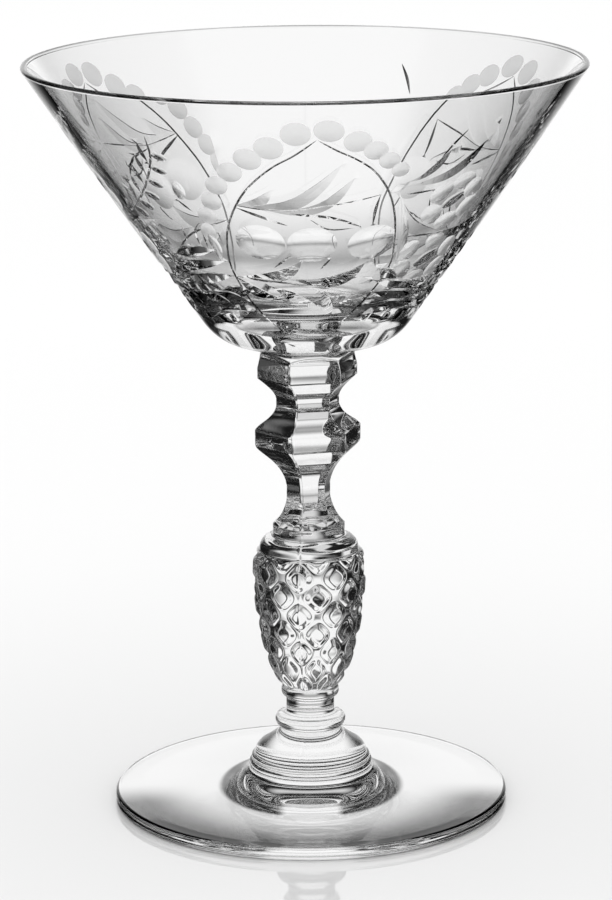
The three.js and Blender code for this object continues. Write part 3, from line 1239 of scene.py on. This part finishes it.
@dataclass
class Bowl:
    """The blown bowl: a cone with a thick bottom, wheel cut outside."""

    base_height: float = 90.6
    height: float = 55.4
    rim_radius: float = 53.7
    rim_thickness: float = 1.2
    corner_radius: float = 17.6
    corner_height: float = 2.2
    corner_blend: float = 4.0
    joint_radius: float = 7.6
    crease_height: float = 0.3
    bottom_thickness: float = 3.9
    lower_height: float = 23.0
    lower_thickness: float = 2.1
    bulge: float = 0.28
    reference: float = 75.0
    cut_bearing: float = math.radians(-150)
    columns: int = 240
    background: float = 2.4
    row_share: float = 0.866
    clearance: float = 0.9
    rungs: int = 25
    merge_distance: float = 1e-4
    probe_share: float = 0.03
    probe_step: float = 0.0005
    medallion: Medallion = field(default_factory=Medallion)
    far_medallion: Medallion = field(default_factory=lambda: Medallion(
        circle_depth=0.25, upper_depth=0.1, lower_depth=0.2, crescent_depth=0.06))
    spray: Spray = field(default_factory=Spray)
    far_spray: Spray = field(default_factory=lambda: Spray(flowered=False))

    def __post_init__(self) -> None:
        """Works out the cone that the pattern is laid out on."""
        self.slope = (self.rim_radius - self.corner_radius) / (self.height - self.corner_height)
        self.half_angle = math.atan(self.slope)
        self.wrap = math.sin(self.half_angle)
        self.wall_start = self.corner_height + self.corner_blend
        self.wall_end = self.height - self.rim_thickness / 2

    def cone_radius(self, height: float) -> float:
        """The cone's radius at a height above the joint."""
        return self.rim_radius - self.slope * (self.height - height)

    def wall_radius(self, height: np.ndarray) -> np.ndarray:
        """The outer wall's radius: nearly the cone, very slightly full.

        Args:
            height: heights above the joint.

        Returns:
            Radii.
        """
        share = (height - self.wall_start) / (self.wall_end - self.wall_start)
        low = self.cone_radius(self.wall_start)
        return low + (self.rim_radius - low) * share + self.bulge * 4 * share * (1 - share)

    def wall_tilt(self, height: np.ndarray) -> np.ndarray:
        """The outer wall's angle from upright at heights."""
        step = 0.01
        return np.arctan((self.wall_radius(height + step) - self.wall_radius(height - step)) / (2 * step))

    def ring_distance(self, height: float) -> float:
        """The distance from the cone's point, along the cone, to a height."""
        return self.cone_radius(height) / self.wrap

    def cuts(self) -> list[Dish | Stroke]:
        """Every cut, placed on the unrolled cone.

        Returns:
            The cuts.
        """
        out = []
        for motif, bearings in ((self.medallion, (0,)), (self.far_medallion, (120, -120)),
                                (self.spray, (60, -60)), (self.far_spray, (180,))):
            for bearing in bearings:
                turn = math.radians(bearing) * self.wrap
                out += [moved(cut, turn, self.reference) for cut in motif.cuts()]
        return out

    def dig(self, cuts: list[Dish | Stroke], places: np.ndarray) -> tuple[np.ndarray, np.ndarray]:
        """The cutting's depth and frost at unrolled places.

        Args:
            cuts: the cuts.
            places: unrolled places, one row each.

        Returns:
            Depths and frosts.
        """
        depth, frost = np.zeros(len(places)), np.zeros(len(places))
        for cut in cuts:
            x0, y0, x1, y1 = cut.reach()
            near = np.flatnonzero((places[:, 0] > x0) & (places[:, 0] < x1)
                                  & (places[:, 1] > y0) & (places[:, 1] < y1))
            if not len(near):
                continue
            dug = cut.dig(places[near, 0], places[near, 1])
            deeper = dug > depth[near]
            depth[near[deeper]] = dug[deeper]
            frost[near[deeper]] = cut.frost
        return depth, frost

    def build(self) -> bpy.types.Object:
        """Makes the bowl's mesh.

        Returns:
            The bowl's object.
        """
        shell = Shell()
        under_rise = (self.corner_height - self.crease_height) / (self.corner_radius - self.joint_radius)
        bend_start = self.corner_radius - self.corner_blend
        bend_height = self.crease_height + under_rise * (bend_start - self.joint_radius)
        base = Outline((0.0, 0.0)).to(self.joint_radius, 0.0)
        shell.turn(base, self.columns, self.start, fused_below=SLACK)
        under = Outline((self.joint_radius, 0.0)).to(self.joint_radius, self.crease_height)
        under.to(bend_start, bend_height, 3)
        corner = (self.corner_radius, self.corner_height)
        under.bend(corner, self.cone_radius(self.wall_start), self.wall_start, 20)
        lower = shell.turn(under, self.columns, self.start)[-1]
        upper = shell.turn(self.inside(), self.columns, self.start)[0]
        self.cut_wall(shell, lower, upper)
        shell.vertices = [v + (0, 0, self.base_height) for v in shell.vertices]
        return shell.build("bowl_crystal_looks")

    @property
    def start(self) -> float:
        """The bearing of the first column, where the unrolled wall is cut open."""
        return FRONT + self.cut_bearing

    def inside(self) -> Outline:
        """The outline from the outer edge of the rim, over it and down the inside.

        Returns:
            The outline.
        """
        half = self.rim_thickness / 2
        low = self.cone_radius(self.lower_height) - self.lower_thickness
        inner_rim = self.rim_radius - self.rim_thickness
        slope = (inner_rim - low) / (self.wall_end - self.lower_height)
        corner = low - slope * (self.lower_height - self.bottom_thickness)
        out = Outline((self.rim_radius, self.wall_end))
        out.curve(self.rim_radius - half, self.height, ROUND_IN, 6)
        out.curve(inner_rim, self.wall_end, ROUND_OUT, 6)
        out.to(low, self.lower_height, 8)
        return out.bend((corner, self.bottom_thickness), 0.0, self.bottom_thickness, 40)

    def cut_wall(self, shell: Shell, lower: np.ndarray, upper: np.ndarray) -> None:
        """Fills the outer wall between two rings with a mesh that follows every cut.

        Args:
            shell: the shell to fill.
            lower: the vertices of the ring below.
            upper: the vertices of the rim's outer ring.
        """
        cuts = self.cuts()
        inner, outer = self.ring_distance(self.wall_start), self.ring_distance(self.wall_end)
        span = 2 * math.pi * self.wrap
        first = self.cut_bearing * self.wrap
        angles = first + np.linspace(0, span, self.columns + 1)
        rungs = np.linspace(inner, outer, self.rungs)[1:-1]
        edge = [np.stack([np.sin(angles) * r, np.cos(angles) * r], axis=1) for r in (inner, outer)]
        side = [np.stack([np.sin(a) * rungs, np.cos(a) * rungs], axis=1) for a in (angles[0], angles[-1])]
        loop = np.vstack([edge[0], side[1], edge[1][::-1], side[0][::-1]])
        known = list(lower) + [lower[0]]
        seam = self.seam_vertices(shell, rungs)
        known += list(seam) + [upper[0]] + list(upper[::-1]) + list(seam[::-1])
        points, lines = [loop], [(np.arange(len(loop)), True)]
        count = len(loop)
        for cut in cuts:
            for line, closed in cut.lines():
                points.append(line)
                lines.append((count + np.arange(len(line)), closed))
                count += len(line)
        fixed = np.vstack(points)
        fixed = np.vstack([fixed, self.scatter(fixed, inner, outer, angles)])
        edges = []
        for row, closed in lines:
            edges += list(zip(row[:-1], row[1:])) + ([(row[-1], row[0])] if closed else [])
        edges = [(int(a), int(b)) for a, b in edges]
        made = delaunay_2d_cdt([Vector(p) for p in fixed], edges, [], 1, self.merge_distance)
        flat, faces, origins = np.array([tuple(v) for v in made[0]]), made[2], made[3]
        distance = np.hypot(flat[:, 0], flat[:, 1])
        bearing = np.arctan2(flat[:, 0], flat[:, 1])
        depth, _ = self.dig(cuts, flat)
        where = np.full(len(flat), -1)
        for index, origin in enumerate(origins):
            hits = [o for o in origin if o < len(known)]
            if hits:
                where[index] = known[hits[0]]
        fresh = np.flatnonzero(where < 0)
        where[fresh] = shell.place(self.on_wall(flat[fresh], depth[fresh])) + np.arange(len(fresh))
        faces = [f for f in faces if self.inside_wall(flat[list(f)].mean(0), inner, outer, angles)]
        self.dress_wall(shell, cuts, flat, faces, where)
        LOG.info("bowl wall: %d cuts, %d places, %d faces", len(cuts), len(flat), len(faces))

    def inside_wall(self, middle: np.ndarray, inner: float, outer: float, angles: np.ndarray) -> bool:
        """Whether a face's middle lies on the unrolled wall.

        Args:
            middle: the face's middle.
            inner: the wall's lower distance.
            outer: the wall's upper distance.
            angles: the angles of the boundary.

        Returns:
            True on the wall.
        """
        distance = math.hypot(middle[0], middle[1])
        angle = math.atan2(middle[0], middle[1])
        angle = angle + 2 * math.pi if angle < angles[0] - 1e-9 else angle
        chord = math.cos((angles[1] - angles[0]) / 2)
        return inner * chord - 1e-6 < distance < outer and angles[0] - 1e-9 < angle < angles[-1] + 1e-9

    def seam_vertices(self, shell: Shell, rungs: np.ndarray) -> np.ndarray:
        """Vertices up the line where the unrolled wall is cut open, shared by both sides of it.

        Args:
            shell: the shell.
            rungs: their distances from the cone's point.

        Returns:
            The vertices.
        """
        angle = self.cut_bearing * self.wrap
        flat = np.stack([np.sin(angle) * rungs, np.cos(angle) * rungs], axis=1)
        return shell.place(self.on_wall(flat, np.zeros(len(rungs)))) + np.arange(len(rungs))

    def scatter(self, fixed: np.ndarray, inner: float, outer: float, angles: np.ndarray) -> np.ndarray:
        """Even places between the cuts.

        Args:
            fixed: the places that are taken.
            inner: the wall's lower distance.
            outer: the wall's upper distance.
            angles: the angles of the boundary.

        Returns:
            The places.
        """
        tree = kdtree.KDTree(len(fixed))
        for index, (x, y) in enumerate(fixed):
            tree.insert((x, y, 0), index)
        tree.balance()
        step, rows = self.background, []
        distances = np.arange(inner + step / 2, outer - step / 4, step * self.row_share)
        for row, distance in enumerate(distances):
            count = int((angles[-1] - angles[0]) * distance / step)
            at = angles[0] + (np.arange(count) + 0.25 + 0.5 * (row % 2)) * (angles[-1] - angles[0]) / count
            rows.append(np.stack([np.sin(at) * distance, np.cos(at) * distance], axis=1))
        free = [p for p in np.vstack(rows) if tree.find((p[0], p[1], 0))[2] > self.clearance]
        return np.array(free)

    def on_wall(self, flat: np.ndarray, depth: np.ndarray) -> np.ndarray:
        """Wraps unrolled places round the wall.

        Args:
            flat: unrolled places.
            depth: how deep each is cut.

        Returns:
            Places above the joint.
        """
        height, radius, bearing = self.wrapped(flat)
        tilt = self.wall_tilt(height)
        radius = radius - depth * np.cos(tilt)
        height = height + depth * np.sin(tilt)
        return np.stack([radius * np.cos(bearing), radius * np.sin(bearing), height], axis=1)

    def wrapped(self, flat: np.ndarray) -> tuple[np.ndarray, np.ndarray, np.ndarray]:
        """Height, radius and bearing of unrolled places before cutting.

        Args:
            flat: unrolled places.

        Returns:
            The three rows.
        """
        distance = np.hypot(flat[:, 0], flat[:, 1])
        angle = np.arctan2(flat[:, 0], flat[:, 1])
        height = self.height - (self.rim_radius - distance * self.wrap) / self.slope
        return height, self.wall_radius(height), FRONT + angle / self.wrap

    def dress_wall(self, shell: Shell, cuts: list[Dish | Stroke], flat: np.ndarray,
                   faces: list[list[int]], where: np.ndarray) -> None:
        """Adds the wall's faces with normals taken from the cutting itself.

        Args:
            shell: the shell.
            cuts: the cuts.
            flat: unrolled places of the vertices.
            faces: faces over those places.
            where: the shell's vertex for each place.
        """
        rows = np.array(faces)
        corner = flat[rows]
        middle = corner.mean(1, keepdims=True)
        probe = (corner * (1 - self.probe_share) + middle * self.probe_share).reshape(-1, 2)
        step = self.probe_step
        here, _ = self.dig(cuts, probe)
        slope_x = (self.dig(cuts, probe + (step, 0))[0] - here) / step
        slope_y = (self.dig(cuts, probe + (0, step))[0] - here) / step
        at = corner.reshape(-1, 2)
        height, _, bearing = self.wrapped(at)
        turn = np.arctan2(at[:, 0], at[:, 1])
        round_slope = slope_x * np.cos(turn) - slope_y * np.sin(turn)
        up_slope = slope_x * np.sin(turn) + slope_y * np.cos(turn)
        tilt = self.wall_tilt(height)
        across, along = np.cos(bearing), np.sin(bearing)
        out = np.stack([np.cos(tilt) * across, np.cos(tilt) * along, -np.sin(tilt)], axis=1)
        up = np.stack([np.sin(tilt) * across, np.sin(tilt) * along, np.cos(tilt)], axis=1)
        round_way = np.stack([-along, across, np.zeros(len(at))], axis=1)
        normal = out + round_slope[:, None] * round_way + up_slope[:, None] * up
        normal /= np.linalg.norm(normal, axis=1, keepdims=True)
        frost = self.dig(cuts, middle[:, 0])[1]
        normal = normal.reshape(-1, 3, 3)
        for face, turned, matte in zip(rows, normal, frost):
            corners = [int(where[v]) for v in face]
            if len(set(corners)) == 3:
                shell.face(corners, turned, float(matte))


# Studio

@dataclass(frozen=True)
class Panel:
    """A lit panel that glass shows, by bearing and height angles, in degrees, and its strength."""

    bearing: float
    half_width: float
    low: float
    high: float
    strength: float
    soft: float = 6.0

    def shine(self, bearing: Number, rise: Number) -> Number:
        """The panel's light towards the glass.

        Args:
            bearing: the bearing looked to, in degrees.
            rise: the height angle looked to, in degrees.

        Returns:
            The strength, 0 beside the panel.
        """
        off = bearing - self.bearing
        off = abs(off.math("WRAP", off, 180.0, -180.0))
        inside = 1 - off.ease(self.half_width - self.soft, self.half_width + self.soft)
        inside = inside * rise.ease(self.low - self.soft, self.low + self.soft)
        return inside * (1 - rise.ease(self.high - self.soft, self.high + self.soft)) * self.strength


@dataclass
class Studio:
    """The pale table and the light: white all round, with lit panels between dark cards for glass."""

    floor_radius: float = 3.0
    # Radius of the glowing disc with the foot's painted shadow, and its drop below the floor
    shadow_disc_radius: float = 0.045
    shadow_disc_drop: float = 0.00005
    card: float = 0.01
    panels: tuple[Panel, ...] = (
        # The white backdrop behind the glass and the table below it
        Panel(90.0, 25.0, -18.0, 23.0, 1.0, 8.0), Panel(90.0, 13.0, -52.0, -20.0, 0.72),
        # White seen through the glass from its right, its back and its front right
        Panel(180.0, 15.0, -9.0, 13.0, 0.85, 4.0), Panel(315.0, 18.0, -22.0, -6.0, 0.92, 4.0),
        Panel(135.0, 10.0, -33.0, -19.0, 0.92, 4.0),
        # Overhead, to the front and to the back
        Panel(270.0, 75.0, 48.0, 100.0, 0.4), Panel(90.0, 105.0, 48.0, 100.0, 0.1),
        # The table, shaded far out and pale straight below
        Panel(270.0, 90.0, -100.0, -52.0, 0.15), Panel(90.0, 90.0, -100.0, -52.0, 0.1),
        Panel(90.0, 180.0, -100.0, -64.0, 0.95, 4.0),
    )

    def build(self) -> None:
        """Makes the floor, the glowing disc with the foot's painted shadow, and the world."""
        floor = self.disc("floor", self.floor_radius, 0.0, PaleFloor())
        floor.visible_transmission = floor.visible_glossy = False
        # The glowing disc with the foot's painted shadow: hidden from the camera, from diffuse light and from
        # shadows, so only glass shows it
        shown = self.disc("painted_shadow_under_foot", self.shadow_disc_radius, -self.shadow_disc_drop, PaintedShadowUnderFoot())
        shown.visible_camera = shown.visible_diffuse = shown.visible_shadow = False
        self.surround()

    def disc(self, name: str, radius: float, height: float, finish: Finish) -> bpy.types.Object:
        """Makes a level disc.

        Args:
            name: its name.
            radius: its radius in metres.
            height: its height in metres.
            finish: its finish.

        Returns:
            The disc.
        """
        shell = Shell()
        shell.turn(Outline((radius / MM, height / MM)).to(0.0, height / MM), TABLE_COLUMNS, 0.0)
        disc = shell.build(name)
        disc.data.materials.append(finish.make())
        return disc

    def surround(self) -> None:
        """Builds the world: plain white, and the panels and cards in what glass shows."""
        world = bpy.data.worlds.new("studio")
        bpy.context.scene.world = world
        world.use_nodes = True
        graph = Graph(world.node_tree)
        way = graph.node("ShaderNodeSeparateXYZ", None, {
            0: graph.node("ShaderNodeTexCoord").outputs["Generated"]})
        x, y, z = (Number(graph, way.outputs[k]) for k in range(3))
        bearing = x.math("ARCTAN2", y, x) * (180 / math.pi)
        rise = z.math("ARCSINE", z) * (180 / math.pi)
        shown: Number | float = self.card
        for panel in self.panels:
            shown = panel.shine(bearing, rise).high(shown)
        light_path = graph.node("ShaderNodeLightPath")
        mirrored = Number(graph, light_path.outputs["Is Glossy Ray"]) * Number(
            graph, light_path.outputs["Is Singular Ray"])
        glassy = Number(graph, light_path.outputs["Is Transmission Ray"]).high(mirrored)
        strength = 1 + glassy * (shown - 1)
        ground = graph.node("ShaderNodeBackground", None, {"Color": (1, 1, 1, 1), "Strength": strength})
        graph.node("ShaderNodeOutputWorld", None, {"Surface": ground.outputs[0]})


@dataclass
class Viewpoint:
    """The camera at the photograph's viewing angle, in metres and radians."""

    place: tuple[float, float, float] = (-0.00041, -0.69865, 0.24089)
    pitch: float = 0.23951965
    roll: float = math.radians(0.5)
    lens: float = 148.53
    sensor: float = 36.0

    def build(self) -> None:
        """Makes the camera."""
        data = bpy.data.cameras.new("camera")
        data.lens, data.sensor_width, data.sensor_fit = self.lens, self.sensor, "AUTO"
        camera = bpy.data.objects.new("camera", data)
        bpy.context.scene.collection.objects.link(camera)
        camera.location = self.place
        look = Euler((math.pi / 2 - self.pitch, 0, 0)).to_matrix() @ Euler((0, 0, -self.roll)).to_matrix()
        camera.rotation_euler = look.to_euler()
        bpy.context.scene.camera = camera


@dataclass
class SherbetGlass:
    """The whole glass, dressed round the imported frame."""

    foot: Foot = field(default_factory=Foot)
    stem: Stem = field(default_factory=Stem)
    bowl: Bowl = field(default_factory=Bowl)

    def build(self) -> None:
        fused = FusedJoint().make()
        stem_crystal = Crystal("stem_crystal").make()
        pieces = {
            "foot": (self.foot.build(), Crystal("foot_crystal").make()),
            "stem": (self.stem.build(stem_crystal, fused), None),
            "bowl": (self.bowl.build(), Crystal("bowl_crystal").make()),
        }
        for node, (piece, crystal) in pieces.items():
            if crystal:
                piece.data.materials.append(crystal)
                piece.data.materials.append(fused)
            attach(piece, "root")
            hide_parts(node)
            node + "_crystal"
            LOG.info("%s: %d faces", piece.name, len(piece.data.polygons))


def set_look() -> None:
    """Sets the plain colour view and enough bounces for thick clear glass."""
    scene = bpy.context.scene
    scene.view_settings.view_transform = "Standard"
    cycles = scene.cycles
    cycles.max_bounces = cycles.transmission_bounces = GLASS_BOUNCES
    cycles.transparent_max_bounces, cycles.glossy_bounces = CLEAR_BOUNCES, MIRROR_BOUNCES


def main() -> None:
    """Builds the glass, the studio and the camera."""
    logging.basicConfig(level=logging.INFO, format="%(name)s: %(message)s")
    set_look()
    SherbetGlass().build()
    Studio().build()
    Viewpoint().build()


if __name__ == "__main__":
    main()
